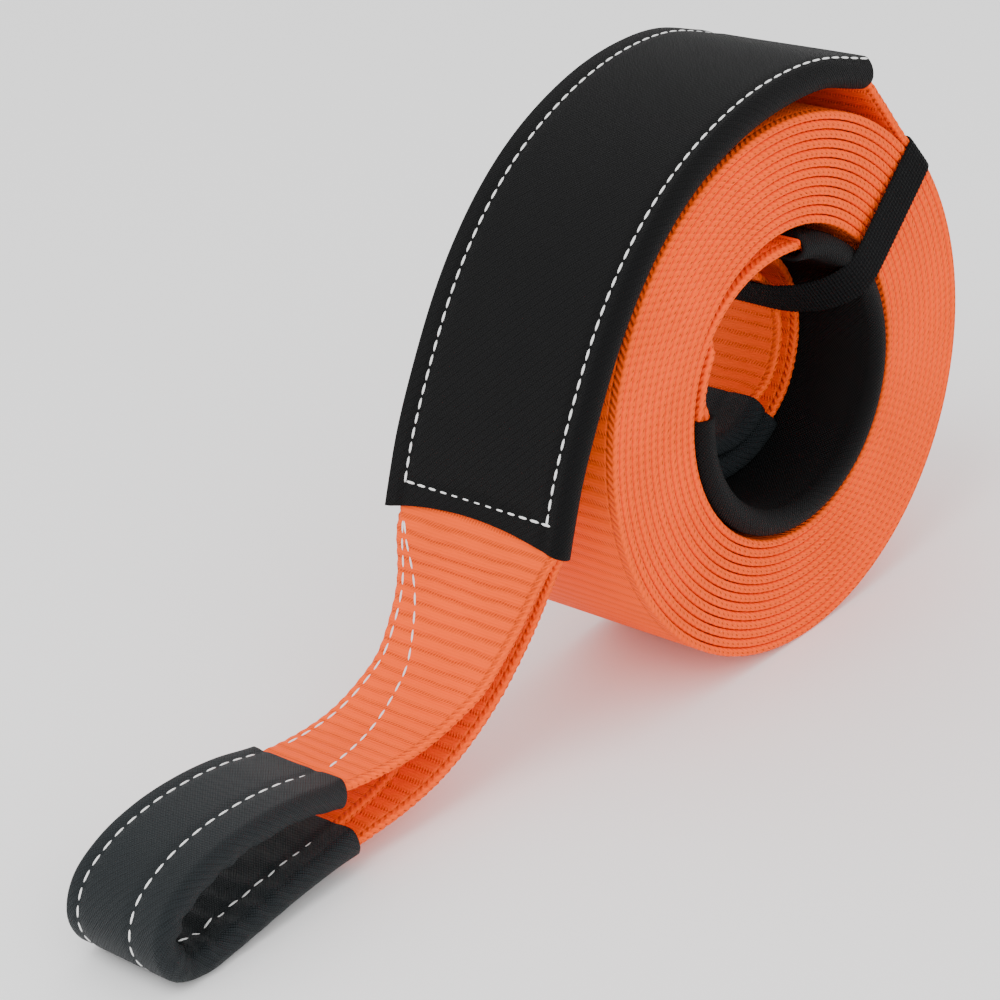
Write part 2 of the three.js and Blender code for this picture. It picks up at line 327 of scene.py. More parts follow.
def sleeve_tube(name, route, outer, inner, ahead, material, slot):
    """A tube of cloth with a skin outside and inside, joined at both ends.

    ahead moves its points along the route, which bows the ends.
    """
    stations, ring = outer.shape[:2]
    points = np.concatenate(
        [in_space(route, skin, ahead).reshape(-1, 3) for skin in (outer, inner)]
    )
    inside = stations * ring
    outer_quads = grid_quads(stations, ring)
    inner_quads = grid_quads(stations, ring, inside)[:, ::-1]
    girth = np.linalg.norm(np.diff(outer[0], axis=0, append=outer[0][:1]), axis=1)
    following = np.broadcast_to(np.cumsum(girth), (stations, ring))
    here = following - girth
    values = grid_uv(route.along, here, following)
    j = np.arange(ring)
    ahead = (j + 1) % ring
    last = (stations - 1) * ring
    start_rim = np.stack([j, inside + j, inside + ahead, ahead], axis=-1)
    end_rim = np.stack([last + j, last + ahead, inside + last + ahead, inside + last + j], axis=-1)
    rim_uv = np.full((2 * ring, 4, 2), end_value)
    quads = np.vstack([outer_quads, inner_quads, start_rim, end_rim])
    uv = np.concatenate([values, values[:, ::-1], rim_uv])
    return make_piece(name, points, quads, uv, np.zeros(len(quads), bool), material)


stitch_stations = 7
stitch_sides = 8
stitch_flatness = 0.8


def thread_stitches(name, lines, pitch, length, radius):
    """Stitches laid along lines, each (points, normals): a spindle centred every pitch.

    With u from -1 to 1 along a stitch and v round it, p = c + (L/2) u t + R (1 - u^4)
    (f cos v n + sin v b), where f flattens it towards the cloth.
    """
    u = np.cos(np.linspace(math.pi, 0, stitch_stations))
    v = np.linspace(0, 2 * math.pi, stitch_sides, endpoint=False)
    swell = (1 - u**4)[:, None]
    points, quads, total = [], [], 0
    base = grid_quads(len(u), len(v))
    for line, normals in lines:
        length_along = running_length(line)
        centres = np.arange(pitch / 2, length_along[-1], pitch)
        place = np.stack([np.interp(centres, length_along, line[:, i]) for i in range(3)], axis=-1)
        ahead = np.stack([np.interp(centres + 1, length_along, line[:, i]) for i in range(3)], axis=-1)
        behind = np.stack([np.interp(centres - 1, length_along, line[:, i]) for i in range(3)], axis=-1)
        up = np.stack([np.interp(centres, length_along, normals[:, i]) for i in range(3)], axis=-1)
        tangent = unit(ahead - behind)
        up = unit(up - np.sum(up * tangent, axis=1, keepdims=True) * tangent)
        flank = np.cross(tangent, up)
        for c, t, n, b in zip(place, tangent, up, flank):
            spine = c + (length / 2) * u[:, None] * t
            ring = np.cos(v)[:, None] * n * stitch_flatness + np.sin(v)[:, None] * b
            cloud = spine[:, None] + radius * swell[:, None] * ring[None]
            points.append(cloud.reshape(-1, 3))
            quads.append(base + total)
            total += cloud.shape[0] * cloud.shape[1]
    points = np.concatenate(points)
    quads = np.concatenate(quads)
    uv = np.zeros((len(quads), 4, 2))
    return make_piece(name, points, quads, uv, np.zeros(len(quads), bool), white_thread)


# Materials


def feed(tree, socket, value):
    if isinstance(value, bpy.types.NodeSocket):
        tree.links.new(value, socket)
    else:
        socket.default_value = value


def calc(tree, operation, *values):
    """One maths node, fed with numbers or sockets."""
    node = tree.nodes.new("ShaderNodeMath")
    node.operation = operation
    for socket, value in zip(node.inputs, values):
        feed(tree, socket, value)
    return node.outputs[0]


def plus(tree, first, second):
    return calc(tree, "ADD", first, second)


def minus(tree, first, second):
    return calc(tree, "SUBTRACT", first, second)


def times(tree, first, second):
    return calc(tree, "MULTIPLY", first, second)


def wave(tree, value, pitch, shift=0.0):
    """sin(2 pi (value / pitch + shift)), from -1 to 1."""
    turns = plus(tree, calc(tree, "DIVIDE", value, pitch), shift)
    return calc(tree, "SINE", times(tree, turns, 2 * math.pi))


def noise(tree, coordinates, scale, detail=2.0):
    node = tree.nodes.new("ShaderNodeTexNoise")
    feed(tree, node.inputs["Vector"], coordinates)
    node.inputs["Scale"].default_value = scale
    node.inputs["Detail"].default_value = detail
    return node.outputs["Fac"]


def new_group(name, inputs, outputs):
    """A node group with float inputs and outputs, as (tree, its input sockets, its output sockets)."""
    tree = bpy.data.node_groups.new(name, "ShaderNodeTree")
    for label in inputs:
        tree.interface.new_socket(label, in_out="INPUT", socket_type="NodeSocketFloat")
    for label in outputs:
        tree.interface.new_socket(label, in_out="OUTPUT", socket_type="NodeSocketFloat")
    entry = tree.nodes.new("NodeGroupInput")
    leaving = tree.nodes.new("NodeGroupOutput")
    return tree, entry.outputs, leaving.inputs


def blend(tree, factor, low, high):
    """low where the factor is 0 and high where it is 1."""
    mix = tree.nodes.new("ShaderNodeMix")
    feed(tree, mix.inputs["Factor"], factor)
    feed(tree, mix.inputs["A"], low)
    feed(tree, mix.inputs["B"], high)
    return mix.outputs["Result"]


# The weave: pitches and widths, and how much each part of it counts in the relief and in the painted
# shading, which darkens its hollows and lightens its crests
rib_pitch = 5.4
rib_drift = 3.0
drift_scale = 0.06
valley_narrowness = 1.15
valley_shade = 0.3
pick_pitch = 1.3
pick_lean = 0.6
pick_height = 0.45
pick_shade = 0.8
weft_height = 0.12
rope_width = 2.9
rope_pitch = 2.9
rope_lean = 0.9
rope_height = 0.8
rope_shade = 0.5
furrow_half_width = 0.5
furrow_height = 0.8
furrow_shade = 0.4
strand_lean = 1.4
strand_height = 0.35
strand_shade = 0.3
fleck_pitch = 3.1
fleck_shift = 0.25
fleck_jitter = 5.0
fleck_threshold = 0.45
fleck_narrowness = 1.7
fleck_height = 2.0
fleck_shade = 4.0


def webbing_group():
    """Relief and painted shading of the webbing from its distance along and its place across: painted shade
    in its valleys, furrows and flecks, painted highlight on its picks and strands.

    Faces: rounded ribs |sin(pi s / rib)| with rows of slanting picks in the valleys between them, and
    at both selvages a rope of strands sin(2 pi (s + lean w) / rope) beyond a narrow furrow.
    Edges, told by across values over 100: slanting strands and short sunken flecks along the middle,
    painted dark as shade.
    """
    tree, given, results = new_group("webbing weave", ["Along", "Across"], ["Height", "Painted shading"])
    along, across = given["Along"], given["Across"]
    position = tree.nodes.new("ShaderNodeCombineXYZ")
    feed(tree, position.inputs["X"], along)
    feed(tree, position.inputs["Y"], across)
    drift = noise(tree, position.outputs[0], drift_scale)
    rib_place = plus(tree, along, times(tree, drift, rib_drift))
    rib = calc(tree, "ABSOLUTE", wave(tree, rib_place, 2 * rib_pitch))
    valley = calc(tree, "MAXIMUM", minus(tree, 1.0, times(tree, rib, valley_narrowness)), 0.0)
    picks = wave(tree, plus(tree, across, times(tree, along, pick_lean)), pick_pitch)
    row = times(tree, valley, picks)
    weft = times(tree, wave(tree, along, pick_pitch), weft_height)
    ground = plus(tree, plus(tree, rib, times(tree, row, pick_height)), weft)
    # Painted shade in the valleys between the ribs, painted highlight on the picks in them
    shade = minus(tree, times(tree, row, pick_shade), times(tree, valley, valley_shade))
    ground_shading = plus(tree, shade, weft)

    from_edge = calc(tree, "MINIMUM", across, minus(tree, webbing_width, across))
    in_rope = calc(tree, "LESS_THAN", from_edge, rope_width)
    strand = wave(tree, plus(tree, along, times(tree, from_edge, rope_lean)), rope_pitch)
    past = calc(tree, "DIVIDE", minus(tree, from_edge, rope_width), furrow_half_width)
    furrow = calc(tree, "POWER", math.e, times(tree, times(tree, past, past), -1.0))
    cloth = blend(tree, in_rope, ground, times(tree, strand, rope_height))
    face = minus(tree, cloth, times(tree, furrow, furrow_height))
    # Painted highlight on the rope's strands, painted shade in the furrow beside it
    woven_shading = blend(tree, in_rope, ground_shading, times(tree, strand, rope_shade))
    face_shading = minus(tree, woven_shading, times(tree, furrow, furrow_shade))

    through = minus(tree, across, edge_value)
    slant = minus(tree, along, times(tree, through, strand_lean))
    strands = wave(tree, slant, fleck_pitch)
    dash = wave(tree, plus(tree, slant, times(tree, drift, fleck_jitter)), fleck_pitch, fleck_shift)
    short = calc(tree, "MAXIMUM", minus(tree, dash, fleck_threshold), 0.0)
    middle = minus(tree, 1.0, times(tree, calc(tree, "ABSOLUTE", through), fleck_narrowness))
    fleck = times(tree, short, calc(tree, "MAXIMUM", middle, 0.0))
    edge = minus(tree, times(tree, strands, strand_height), times(tree, fleck, fleck_height))
    # Painted highlight on the edge's strands, painted shade in its sunken flecks
    edge_shading = minus(tree, times(tree, strands, strand_shade), times(tree, fleck, fleck_shade))

    is_edge = calc(tree, "GREATER_THAN", across, edge_value / 2)
    feed(tree, results["Height"], blend(tree, is_edge, face, edge))
    feed(tree, results["Painted shading"], blend(tree, is_edge, face_shading, edge_shading))
    return tree


diagonal_share = 0.2
lattice_share = 0.8
threads_per_diagonal = 1.5


def twill_group():
    """Relief and painted shading of coarse black cloth: threads both ways under a fine diagonal.

    h = d sin(2 pi (s + w) / diagonal) + l sin(2 pi s / thread) sin(2 pi w / thread), with shares d, l; h is
    also painted on, as shade in the hollows and highlight on the crests.
    """
    tree, given, results = new_group("coarse twill", ["Along", "Across", "Thread"], ["Height", "Painted shading"])
    along, across, thread = given["Along"], given["Across"], given["Thread"]
    diagonal = wave(tree, plus(tree, along, across), times(tree, thread, threads_per_diagonal))
    lattice = times(tree, wave(tree, along, thread), wave(tree, across, thread))
    height = plus(tree, times(tree, diagonal, diagonal_share), times(tree, lattice, lattice_share))
    feed(tree, results["Height"], height)
    # Painted shading: the relief itself, painted lighter on the crests and darker in the hollows
    feed(tree, results["Painted shading"], height)
    return tree


elastic_rib_share = 0.8
elastic_cord_share = 0.25


def elastic_group():
    """Relief and painted shading of ribbed elastic: sin(2 pi s / thread) across it, and fainter cords along
    it, painted lighter on the crests and darker in the hollows.
    """
    tree, given, results = new_group("elastic rib", ["Along", "Across", "Thread"], ["Height", "Painted shading"])
    ribs = wave(tree, given["Along"], given["Thread"])
    cords = wave(tree, given["Across"], given["Thread"])
    height = plus(tree, times(tree, ribs, elastic_rib_share), times(tree, cords, elastic_cord_share))
    feed(tree, results["Height"], height)
    # Painted shading: the relief itself, painted lighter on the crests and darker in the hollows
    feed(tree, results["Painted shading"], height)
    return tree


patch_scale = 30.0
patch_detail = 3.0
patch_strength = 0.25


def cloth_material(name, colour, group, relief, shading_strength, roughness, shine, thread=1.0):
    """A cloth whose relief and painted shade and highlight come from a weave group, with a slow unevenness
    of its own.
    """
    material = bpy.data.materials.new(name)
    material.use_nodes = True
    tree = material.node_tree
    surface = tree.nodes["Principled BSDF"]
    map_node = tree.nodes.new("ShaderNodeUVMap")
    map_node.uv_map = "cloth"
    split = tree.nodes.new("ShaderNodeSeparateXYZ")
    tree.links.new(map_node.outputs["UV"], split.inputs[0])
    weave = tree.nodes.new("ShaderNodeGroup")
    weave.node_tree = group
    feed(tree, weave.inputs["Along"], split.outputs["X"])
    feed(tree, weave.inputs["Across"], split.outputs["Y"])
    if "Thread" in weave.inputs:
        weave.inputs["Thread"].default_value = thread
    place = tree.nodes.new("ShaderNodeTexCoord")
    uneven = noise(tree, place.outputs["Object"], patch_scale, patch_detail)
    slow = times(tree, minus(tree, uneven, 0.5), patch_strength)
    # The weave's painted shade and highlight, scaled, plus a slow random unevenness of tone
    shading_and_unevenness = plus(tree, times(tree, weave.outputs["Painted shading"], shading_strength), slow)
    value = plus(tree, shading_and_unevenness, 1.0)
    shade = tree.nodes.new("ShaderNodeHueSaturation")
    shade.inputs["Color"].default_value = (*colour, 1)
    feed(tree, shade.inputs["Value"], value)
    tree.links.new(shade.outputs["Color"], surface.inputs["Base Color"])
    bump = tree.nodes.new("ShaderNodeBump")
    bump.inputs["Strength"].default_value = 1.0
    bump.inputs["Distance"].default_value = relief / millimetres_per_metre
    feed(tree, bump.inputs["Height"], weave.outputs["Height"])
    tree.links.new(bump.outputs["Normal"], surface.inputs["Normal"])
    surface.inputs["Roughness"].default_value = roughness
    surface.inputs["Specular IOR Level"].default_value = shine
    return material


webbing_weave = webbing_group()
coarse_twill = twill_group()
elastic_rib = elastic_group()
# The orange webbing, its weave painted with shade in its hollows and highlight on its crests
webbing_cloth = cloth_material(
    "orange webbing", (1.0, 0.095, 0.0), webbing_weave, relief=0.45, shading_strength=0.26, roughness=0.6, shine=0.1
)
# Colour, weave, relief, strength of painted shading, roughness, shine and thread of each black cloth
blacks = {
    "black label cloth": ((0.003, 0.003, 0.0033), coarse_twill, 0.4, 0.8, 0.65, 0.13, 1.3),
    "blue-black wear cloth": ((0.0085, 0.012, 0.014), coarse_twill, 0.35, 0.6, 0.55, 0.22, 1.2),
    "black elastic": ((0.003, 0.003, 0.0035), elastic_rib, 0.5, 0.4, 0.75, 0.12, 1.3),
}
label_cloth, wear_cloth, band_cloth = (cloth_material(name, *look) for name, look in blacks.items())


def thread_material():
    material = bpy.data.materials.new("white thread")
    material.use_nodes = True
    surface = material.node_tree.nodes["Principled BSDF"]
    surface.inputs["Base Color"].default_value = (0.83, 0.83, 0.82, 1)
    surface.inputs["Roughness"].default_value = 0.7
    return material


white_thread = thread_material()

# Routes, from the same stations as the part's source

arch_stations = np.array(
    [
        [outer_sleeve_start_angle, 6.5],
        [75, 4.6],
        [86, 2.4],
        [98, 0.9],
        [110, 0.4],
        [120, 0.5],
        [130, 0.7],
        [140, 1.4],
        [150, 3.1],
        [162, 7.2],
        [173, 14.4],
        [181, 21],
        [184.5, 24.6],
    ]
)
arch = route_through(
    polar(arch_stations[:, 0], roll_radius + arch_stations[:, 1] + sleeve_thickness / 2), sleeve_step
)

upper_leg_stations = [
    (31.9, 78.5),
    (34.6, 65.5),
    (40, 54.6),
    (49.6, 42.2),
    (62, 35.6),
    (76, 31.4),
    (91, 30.3),
    (112.4, 32.2),
    (133.7, 37.4),
    (151, 39.4),
    (168.6, 38.9),
    (184.5, 35.2),
]
eye_tip_stations = [
    (196.5, 27.9),
    (200.6, 18),
    (196.5, 8.6),
]
lower_leg_stations = [
    (186, 4.9),
    (166, 6.4),
    (146, 9),
    (124, 11),
    (104, 12.2),
    (87, 14),
    (71, 18.4),
    (56, 26.8),
    (43.6, 38.4),
    (35.4, 51),
    (30.6, 62.8),
    (28.2, 77.6),
]


def in_front(stations):
    """Points (y, z) from the distance in front of the roll's rim and the height above the floor."""
    return [(-(roll_radius + forward), height) for forward, height in stations]


leaving_points = [
    tuple(polar(angle, radius))
    for angle, radius in ((33.15, 103.1), (38, 103.2), (44, 103.9), (50, 106.3), (56, 110.1))
]
arch_samples = 16
inner_layer = moved_sideways(arch, layer_offset, arch_samples)
outer_layer = moved_sideways(arch, -layer_offset, arch_samples)[::-1][:-1]
tail_points = [
    *leaving_points,
    *inner_layer,
    *in_front(lower_leg_stations)[::-1],
    *in_front(eye_tip_stations)[::-1],
    *in_front(upper_leg_stations)[::-1],
    *outer_layer,
]
legs_start_index = len(leaving_points) + len(inner_layer) - 1
legs_end_index = len(tail_points) - len(outer_layer)
tip_index = len(leaving_points) + len(inner_layer) + len(lower_leg_stations) + 1
tail = route_through(tail_points, tail_step, (legs_start_index, legs_end_index, tip_index))

lining_angles = np.linspace(*inner_sleeve_angles, 19)
outer_run = polar(lining_angles, lining_radius + layer_offset)
inner_run = polar(lining_angles, lining_radius - layer_offset)[::-1][:-1]
eye_seat_radius = bore_lining_radius - bore_play - eye_sleeve_thickness / 2
eye_return_radius = eye_seat_radius - eye_sleeve_thickness - 2 * seat_gap
inner_leg_out = [
    (-215, bore_radius - 4.4),
    (-238, bore_radius - 6.6),
    (-256, bore_radius - 9.9),
    (-274, bore_lining_radius - 2.7),
    (-300, bore_lining_radius - 3.2),
    (-330, bore_lining_radius - 3.5),
    (-360, bore_lining_radius - 3.7),
    (-390, bore_lining_radius - 4.2),
    (-412, eye_seat_radius),
]
inner_eye_out = [(angle, eye_seat_radius) for angle in (-435, -465, -495, -525, -543)]
inner_eye_tip = [
    (-557, eye_seat_radius - 3.2),
    (-562, eye_seat_radius - 10),
    (-555, eye_seat_radius - 16),
]
inner_eye_back = [
    (-535, eye_return_radius - 4.8),
    (-515, eye_return_radius - 2.4),
    (-490, eye_return_radius - 0.8),
    (-465, eye_return_radius - 0.2),
    (-435, eye_return_radius),
]
inner_leg_back = [
    (-412, eye_return_radius),
    (-390, bore_lining_radius - 12.4),
    (-360, bore_lining_radius - 10.4),
    (-330, bore_lining_radius - 9.6),
    (-300, bore_lining_radius - 8.8),
    (-274, bore_lining_radius - 7.8),
    (-256, bore_radius - 14.6),
    (-238, bore_radius - 10.9),
    (-215, bore_radius - 8.1),
]
bore_stations = np.array(inner_leg_out + inner_eye_out + inner_eye_tip + inner_eye_back + inner_leg_back)
inner_points = [*outer_run, *polar(bore_stations[:, 0], bore_stations[:, 1]), *inner_run]
seat_index = len(outer_run) + len(inner_leg_out) - 1
return_index = len(inner_points) - len(inner_run) - len(inner_leg_back)
inner_end = route_through(
    inner_points,
    inner_step,
    (len(outer_run), len(inner_points) - len(inner_run), seat_index, return_index),
)
lining = route_through(polar(lining_angles, lining_radius), sleeve_step)

# Webbing

edge_bulge = 1.1
serration = 0.3
rib_depth = 0.13
wound_rib_depth = 0.04
rib_wander = 0.7
rib_wander_run = 23


def rib_swell(along, depth):
    """How far the ribs of the weave thicken the webbing: depth cos(2 pi s / rib pitch), s wandering."""
    return depth * np.cos(2 * math.pi * (along + rib_wander * np.sin(along / rib_wander_run)) / rib_pitch)


def serrated(along):
    """How far the rope of the selvage stands out past the edge: e + a cos(2 pi s / rope pitch)."""
    return edge_bulge + serration * np.cos(2 * math.pi * along / rope_pitch)


spiral_samples = 60000


def wound_route():
    """The spiral r(a) = seat + (end - seat) (a - a0) / (a1 - a0), drawn in where it enters the lining."""
    angles = np.linspace(spiral_start_angle, spiral_end_angle, spiral_samples)
    growth = (spiral_end_radius - spiral_seat_radius) / (spiral_end_angle - spiral_seat_angle)
    radii = spiral_seat_radius + growth * (angles - spiral_seat_angle)
    radii = radii - spiral_lead_in * (1 - smooth(*spiral_lead_angles, angles))
    fine = polar(angles, radii)
    length = running_length(fine)
    along = np.linspace(0, length[-1], int(length[-1] / roll_step) + 1)
    centre = np.stack([np.interp(along, length, fine[:, i]) for i in (0, 1)], axis=-1)
    tangent = unit(np.gradient(centre, axis=0))
    side = np.stack([-tangent[:, 1], tangent[:, 0]], axis=-1)
    return Route(along, centre, tangent, side, [])


def straight_lines(stations, count, low, high):
    """Mid-lines straight across the strap from x = high to x = low, and the distance from high."""
    x = np.linspace(high, low, count)
    mid = np.zeros((stations, count, 2))
    mid[..., 0] = x
    across = np.broadcast_to(high - x, (stations, count))
    return mid, across


fold_radius = 1.6
fold_closed_width = 14.0
widest_fold = 40.0
leg_spread = 1.4
leg_spread_start = 14.0
leg_spread_run = 40.0
fold_samples = 400
panel_points = 12
arc_points = 8
flap_points = 9
shortest_flap = 0.02
wound_points = 3


def near_edge(into_legs):
    """The near edge's x at a distance d into the legs: E + (W/2 - E) exp(-d / run)."""
    left = np.exp(-np.maximum(into_legs, 0) / fold_run)
    return folded_near_edge + (half_width - folded_near_edge) * left


def fold_of(width):
    """A fold of that much webbing: its angle, the length of its arc, its flap, and its reach in x."""
    angle = math.pi * smooth(0, fold_closed_width, width)
    arc = fold_radius * angle
    flap = width - arc
    turned = np.minimum(angle, math.pi / 2)
    reach = (fold_radius + half_thickness) * np.sin(turned) + flap * np.maximum(np.cos(angle), 0)
    return angle, arc, flap, reach


def folded_width(near):
    """How much webbing is folded over at the far side where the near edge lies at x = near."""
    widths = np.linspace(0, widest_fold, fold_samples)
    edges = half_width - widths + fold_of(widths)[3]
    return np.interp(-near, -edges, widths)


def panel_height(into_legs, near, x):
    """How far the main panel's middle lies to the route's side: half a fold, and more at the far side.

    The extra height leaves room for both flaps where the legs part: S smooth(d) exp(-d / run).
    """
    angle = fold_of(folded_width(near))[0]
    ease = smooth(0, leg_spread_start, into_legs)
    extra = leg_spread * ease * np.exp(-np.maximum(into_legs, 0) / leg_spread_run)
    return fold_radius * (1 - np.cos(angle)) / 2 + extra * (near - x) / (near + half_width)


def folded_lines(into_legs):
    """Mid-lines across webbing whose far side is folded over on to its inner face.

    The main panel lies at height A, the fold is an arc of radius R through the fold angle F, and the
    flap leaves it straight: p = (c - R sin a, A - R (1 - cos a)), then + r (-cos F, -sin F).
    """
    into_legs = into_legs[:, None]
    near = near_edge(into_legs)
    width = folded_width(near)
    angle, arc, flap, reach = fold_of(width)
    crease = reach - half_width
    panel = webbing_width - width
    on_panel = np.linspace(0, 1, panel_points)[None, :]
    on_arc = np.linspace(0, 1, arc_points)[None, 1:-1]
    on_flap = np.linspace(0, 1, flap_points)[None, :]
    main = edge_bulge + (panel - edge_bulge) * on_panel
    bend = on_arc * angle
    tip = np.maximum(flap - edge_bulge, shortest_flap) * on_flap
    main_x = crease + panel - main
    arc_x = crease - fold_radius * np.sin(bend)
    flap_x = crease - fold_radius * np.sin(angle) - tip * np.cos(angle)
    at_crease = panel_height(into_legs, near, crease)
    main_y = panel_height(into_legs, near, main_x)
    arc_y = at_crease - fold_radius * (1 - np.cos(bend))
    flap_y = at_crease - fold_radius * (1 - np.cos(angle)) - tip * np.sin(angle)
    x = np.concatenate([main_x, arc_x, flap_x], axis=1)
    y = np.concatenate([main_y, arc_y, flap_y], axis=1)
    across = np.concatenate([main, panel + fold_radius * bend, panel + arc + tip], axis=1)
    return np.stack([x, y], axis=-1), across


def into_legs_of(route):
    """Each station's distance into the legs from the nearer of their two ends."""
    return np.minimum(route.along - route.marks[0], route.marks[1] - route.along)


def legged_band(name, route):
    """An end of the strap: its webbing folded along the legs, ribbed, with serrated selvages."""
    mid, across = folded_lines(into_legs_of(route))
    half = half_thickness - rib_depth + rib_swell(route.along, rib_depth)
    return solid_band(name, route, mid, across, half, serrated(route.along), webbing_cloth)


wound = wound_route()
wound_mid, wound_across = straight_lines(
    len(wound.along), wound_points, -half_width + edge_bulge, half_width - edge_bulge
)
strap_roll = solid_band(
    "strap_roll",
    wound,
    wound_mid,
    wound_across,
    half_thickness + rib_swell(wound.along, wound_rib_depth),
    edge_bulge,
    webbing_cloth,
)
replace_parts(strap_roll, "webbing_roll")

strap_tail = legged_band("strap_tail", tail)
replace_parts(strap_tail, "webbing_tail")

strap_inner_end = legged_band("strap_inner_end", inner_end)
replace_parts(strap_inner_end, "webbing_inner_end")

# Sleeves


rim_points = 13


def padded_loop(half_x, half_y, near_round, far_round, count):
    """A closed section (x, across): flat skins at y = +-b, joined by half ellipses at both sides.

    The near one is (a - c + c cos v, b sin v), and the far one mirrors it with a reach of its own.
    """
    v = np.linspace(-math.pi / 2, math.pi / 2, rim_points)
    near_x = half_x - near_round + near_round * np.cos(v)
    far_x = far_round - half_x - far_round * np.cos(v)
    skin_x = np.linspace(near_x[-1], far_x[0], count)[1:-1]
    skin_y = np.full(count - 2, half_y)
    rim_y = half_y * np.sin(v)
    x = np.concatenate([near_x, skin_x, far_x, skin_x[::-1]])
    y = np.concatenate([rim_y, skin_y, rim_y[::-1], -skin_y])
    return np.stack([x, y], axis=-1)


def lining_of(outer, half_x, half_y, wall, centre_x):
    """A sleeve's inner skin: its outer one shrunk by the wall, (a - wall) / a and (b - wall) / b."""
    shrink_x = (half_x - wall) / half_x
    inner = outer * np.array([shrink_x, (half_y - wall) / half_y])
    inner[..., 0] += centre_x * (1 - shrink_x)
    return inner


def repeated(section, stations):
    return np.broadcast_to(section, (stations, *section.shape)).copy()


def dip(distance, depth, width):
    """The furrow that a row of stitches pulls into cloth: depth exp(-(d / width)^2)."""
    return depth * np.exp(-((distance / width) ** 2))


label_half = 41.5
label_centre_x = -1.0
label_half_thickness = sleeve_thickness / 2 - 0.2
label_loop = padded_loop(label_half, label_half_thickness, near_round=5.0, far_round=1.8, count=56)
label_furrow = 0.5
label_furrow_width = 2.0
far_row_x = -33.5
near_row_start_x = 33
near_row_wander = 6
near_row_run = 50
cross_row_half = 35
stitch_inset = 11.0
label_bow = 5.5
label_bow_run = 12.0
loft_height = 1.6
loft_middle = 50
loft_run = 45
gape_height = 1.3
gape_run = 20
sway_height = 0.25
sway_run = 21
sway_width = 30


def near_row_x(along):
    """Where the near row of stitches runs, out towards the tie band: x0 + w exp(-s / run)."""
    return near_row_start_x + near_row_wander * np.exp(-along / near_row_run)


def label_loft(along, x):
    """How far the outer label's cloth stands off, looser towards the tie band and at its mouth there."""
    loft = loft_height * np.exp(-(((along - loft_middle) / loft_run) ** 2))
    gape = gape_height * np.exp(-along / gape_run) * smooth(-label_half, label_half, x)
    sway = sway_height * np.sin(along / sway_run) * np.cos(x / sway_width)
    return loft + gape + sway


def label_sections(route, looseness):
    """Outer and inner sections of a label sleeve, dipped along its rows of stitches."""
    outer = repeated(label_loop, len(route.along))
    outer[..., 0] += label_centre_x
    x = outer[..., 0]
    y = outer[..., 1]
    along = route.along[:, None]
    near_row = dip(x - near_row_x(along), label_furrow, label_furrow_width)
    far_row = dip(x - far_row_x, label_furrow, label_furrow_width)
    from_cross_row = along - (route.along[-1] - stitch_inset)
    cross_row = dip(from_cross_row, label_furrow, label_furrow_width) * (np.abs(x) < cross_row_half)
    furrow = np.maximum(near_row + far_row, cross_row)
    lift = 1 + looseness * label_loft(along, x) / label_half_thickness * (y < 0)
    outer[..., 1] = y * lift - np.sign(y) * furrow
    return outer, lining_of(outer, label_half, label_half_thickness, sleeve_wall, label_centre_x)


def label_ahead(route, bow):
    """How far the lower end's middle is drawn back: bow (1 - (x / a)^2) exp(-(L - s) / run)."""
    from_end = (route.along[-1] - route.along)[:, None, None]
    return -bow * (1 - (label_loop[None, :, :1] / label_half) ** 2) * np.exp(-from_end / label_bow_run)


outer_label = sleeve_tube(
    "outer_label_cloth",
    arch,
    *label_sections(arch, 1.0),
    label_ahead(arch, label_bow),
    label_cloth,
    "label_sleeve",
)
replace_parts(outer_label, "outer_label_sleeve")
inner_label = sleeve_tube(
    "inner_label_cloth", lining, *label_sections(lining, 0.0), 0.0, label_cloth, "label_sleeve"
)
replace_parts(inner_label, "inner_label_sleeve")

eye_overhang = 0.5
eye_low_x = -half_width - seat_gap - eye_sleeve_wall - eye_overhang
eye_high_x = near_edge(bare_leg_length) + seat_gap + eye_sleeve_wall
eye_centre_x = (eye_low_x + eye_high_x) / 2
eye_half = (eye_high_x - eye_low_x) / 2
eye_half_thickness = eye_sleeve_thickness / 2 - 0.4
eye_loop = padded_loop(eye_half, eye_half_thickness, near_round=3.6, far_round=2.2, count=34)
far_seam_x = -33.0
near_seam_x = -7.5
inner_seam_x = -3.5
seam_depth = 0.5
far_seam_width = 1.8
near_seam_width = 2.2
mouth_puff = 0.22
mouth_run = 9
puffed_x = (-20, 4)
rim_ripple = 0.5
crease_reach = 62
crease_pitch = 13.5
crease_lean = 9
short_crease_pitch = 7.3
short_crease_lean = 5
short_crease_share = 0.55
crease_wander = 1.9
crease_wander_run = 11
crease_lift = 1.4


def creases(along, x, tip):
    """Creases bunched round the tip, leaning across the cloth, as two sines of unlike lengths.

    Taken together they only lift the cloth off its webbing, which is the way of negative values.
    """
    wander = crease_wander * np.sin(along / crease_wander_run)
    long_crease = np.sin(2 * math.pi * along / crease_pitch + x / crease_lean + wander)
    short_turns = 2 * math.pi * along / short_crease_pitch
    short_crease = short_crease_share * np.sin(short_turns - x / short_crease_lean - wander)
    near_tip = np.exp(-(((along - tip) / crease_reach) ** 2))
    return near_tip * (long_crease + short_crease - crease_lift)


